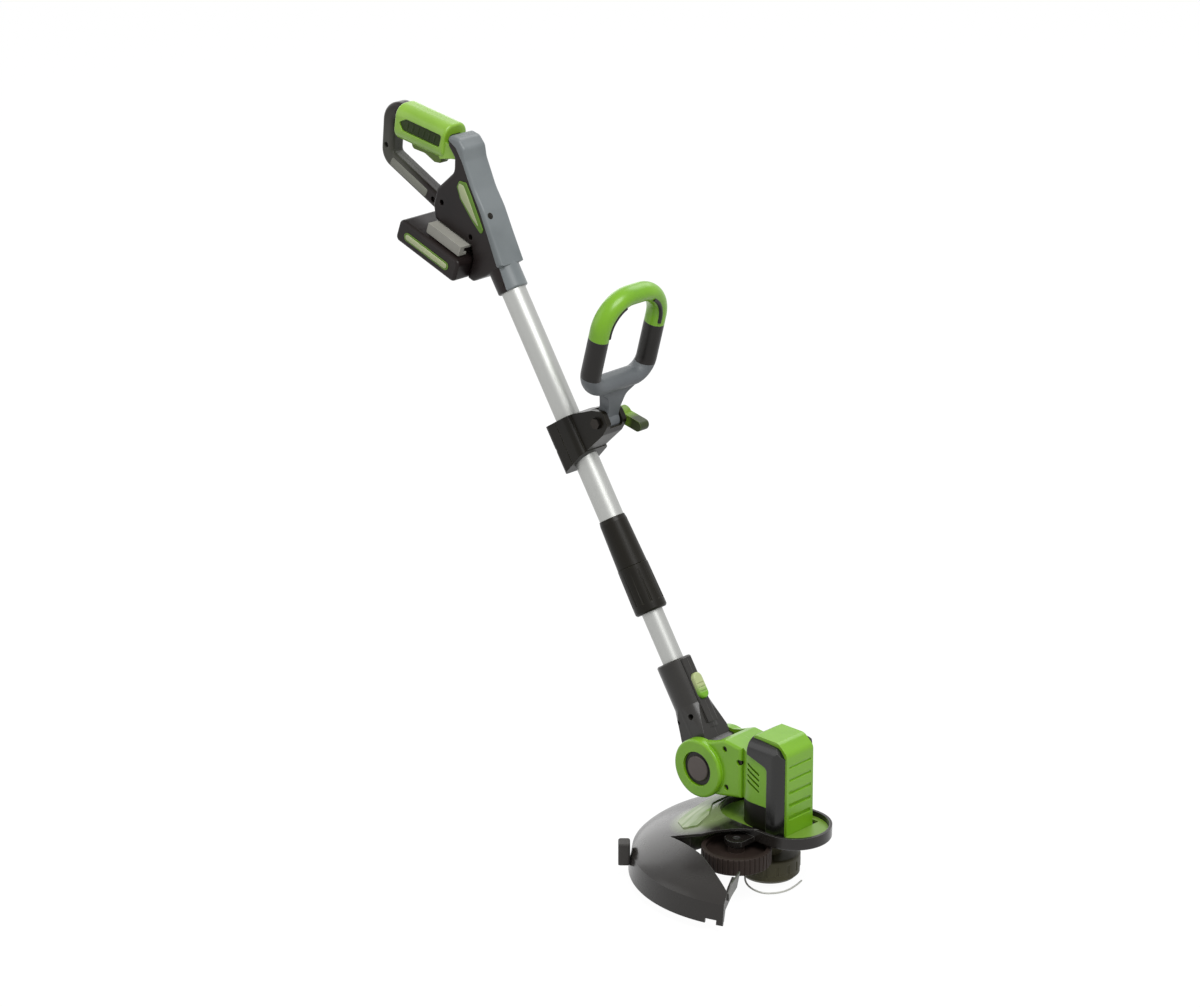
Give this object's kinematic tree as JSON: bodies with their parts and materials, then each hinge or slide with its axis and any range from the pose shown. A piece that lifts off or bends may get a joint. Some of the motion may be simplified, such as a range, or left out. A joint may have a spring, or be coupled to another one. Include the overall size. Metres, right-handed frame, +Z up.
{
  "type": "cordless string trimmer",
  "caption": "Cordless line trimmer with a telescopic shaft, tilting motor head, guard with an edging wheel, clamped loop handle and a slide-on battery under a closed rear grip.",
  "frame": {"origin": "on the spool's spin axis, in the flat bottom face of the spool cap", "axes": "+X is the cutting direction, +Y the user's left, +Z up along the spool's axis; the shaft rises backwards in the XZ plane at 57.3 degrees to the ground"},
  "size_m": [0.6523, 0.2855, 0.7696],
  "materials": {
    "black_plastic": "fine satin texture",
    "grey_cover_plastic": "satin",
    "light_grey_plastic": "satin",
    "green_plastic": "moulded satin gloss",
    "pale_green_plastic": "satin",
    "olive_plastic": "satin",
    "grey_plastic": "fine texture",
    "dark_trim_plastic": "fine texture",
    "rubber": "matt",
    "tube_aluminium": "brushed and clear anodised",
    "bright_steel": "bright",
    "nylon_line": "translucent drawn line",
    "copper": "bright",
    "cell_wrap": "shrink wrap"
  },
  "bodies": {
    "handle_unit": {"housing_right": "black_plastic", "housing_left": "black_plastic", "top_cover": "grey_cover_plastic", "rear_grip": "green_plastic", "side_accents": "pale_green_plastic", "battery_foot": "light_grey_plastic", "contact_blades": "copper", "switch_body": "black_plastic", "trigger_spring": "bright_steel", "housing_screws": "bright_steel", "upper_tube": "tube_aluminium", "collar_sleeve": "black_plastic", "collet": "grey_plastic", "power_lead": "rubber"},
    "trigger": {"trigger": "olive_plastic"},
    "lock_button": {"lock_button": "black_plastic"},
    "battery": {"battery_case": "black_plastic", "battery_cells": "cell_wrap", "battery_stripes": "pale_green_plastic"},
    "battery_latch": {"battery_latch": "black_plastic"},
    "clamp": {"clamp_body": "black_plastic", "clamp_cap": "black_plastic", "clamp_screws": "bright_steel", "loop_bolt": "bright_steel"},
    "loop": {"loop_base": "grey_plastic", "loop_posts": "black_plastic", "loop_grip": "green_plastic"},
    "loop_knob": {"loop_knob": "olive_plastic"},
    "collar_nut": {"collar_nut": "black_plastic"},
    "lower_shaft": {"lower_tube": "tube_aluminium", "tube_bush": "grey_plastic", "index_ring": "grey_plastic"},
    "neck": {"neck_right": "black_plastic", "neck_left": "black_plastic", "neck_screws": "bright_steel", "button_spring": "bright_steel"},
    "edging_button": {"edging_button": "green_plastic"},
    "head": {"motor_housing_right": "green_plastic", "motor_housing_left": "green_plastic", "hood_frame": "dark_trim_plastic", "motor_hood": "green_plastic", "head_screws": "bright_steel", "motor_base": "black_plastic", "motor_can": "bright_steel", "pivot_caps": "dark_trim_plastic", "guard_shield": "grey_plastic", "guard_panel": "green_plastic", "guard_bumper": "dark_trim_plastic", "line_cutter": "bright_steel", "wheel_axle": "bright_steel"},
    "spool": {"rotor_shaft": "bright_steel", "cooling_fan": "grey_plastic", "spool_housing": "olive_plastic", "spool_cap": "olive_plastic", "line_drum": "olive_plastic", "spool_spring": "bright_steel", "line_winding": "nylon_line", "line_eyelets": "bright_steel", "trimmer_line": "nylon_line"},
    "edging_wheel": {"edging_wheel": "rubber"}
  },
  "joints": [
    {"name": "trigger_pull", "type": "hinge", "parent": "handle_unit", "child": "trigger", "pos_m": [-0.48713, 0, 0.71993], "axis": [0, 1, 0], "range_deg": [0, 8], "stiffness_Nm_per_rad": 0.2, "springref_deg": -8.59, "deforming": ["trigger_spring"]},
    {"name": "lock_press", "type": "slide", "parent": "handle_unit", "child": "lock_button", "axis": [0, -1, 0], "range_m": [0, 0.003], "stiffness_N_per_m": 400, "springref_m": -0.002},
    {"name": "battery_slide", "type": "slide", "parent": "handle_unit", "child": "battery", "axis": [-0.9397, 0, 0.342], "range_m": [0, 0.1]},
    {"name": "latch_press", "type": "slide", "parent": "battery", "child": "battery_latch", "axis": [-0.342, 0, -0.9397], "range_m": [0, 0.003], "stiffness_N_per_m": 400, "springref_m": -0.002},
    {"name": "clamp_slide", "type": "slide", "parent": "handle_unit", "child": "clamp", "axis": [-0.5402, 0, 0.8415], "range_m": [-0.04, 0.08]},
    {"name": "loop_tilt", "type": "hinge", "parent": "clamp", "child": "loop", "pos_m": [-0.24109, 0, 0.463], "axis": [0, 1, 0], "range_deg": [-30, 30]},
    {"name": "knob_turn", "type": "hinge", "parent": "clamp", "child": "loop_knob", "pos_m": [-0.24109, 0, 0.463], "axis": [0, 1, 0], "continuous": true},
    {"name": "collar_turn", "type": "hinge", "parent": "handle_unit", "child": "collar_nut", "pos_m": [-0.18605, 0, 0.2773], "axis": [-0.5402, 0, 0.8415], "range_deg": [0, 90]},
    {"name": "shaft_slide", "type": "slide", "parent": "handle_unit", "child": "lower_shaft", "axis": [0.5402, 0, -0.8415], "range_m": [-0.05, 0.1]},
    {"name": "edging_turn", "type": "hinge", "parent": "lower_shaft", "child": "neck", "pos_m": [-0.13202, 0, 0.19315], "axis": [-0.5402, 0, 0.8415], "range_deg": [0, 180]},
    {"name": "edging_press", "type": "slide", "parent": "neck", "child": "edging_button", "axis": [-0.8415, 0, -0.5402], "range_m": [0, 0.003], "stiffness_N_per_m": 400, "springref_m": -0.003, "deforming": ["button_spring"]},
    {"name": "head_tilt", "type": "hinge", "parent": "neck", "child": "head", "pos_m": [-0.078, 0, 0.109], "axis": [0, 1, 0], "range_deg": [-30, 30]},
    {"name": "spool_spin", "type": "hinge", "parent": "head", "child": "spool", "pos_m": [0, 0, 0], "axis": [0, 0, 1], "continuous": true},
    {"name": "wheel_spin", "type": "hinge", "parent": "head", "child": "edging_wheel", "pos_m": [0.002, -0.057, 0], "axis": [0, 0, 1], "continuous": true}
  ]
}
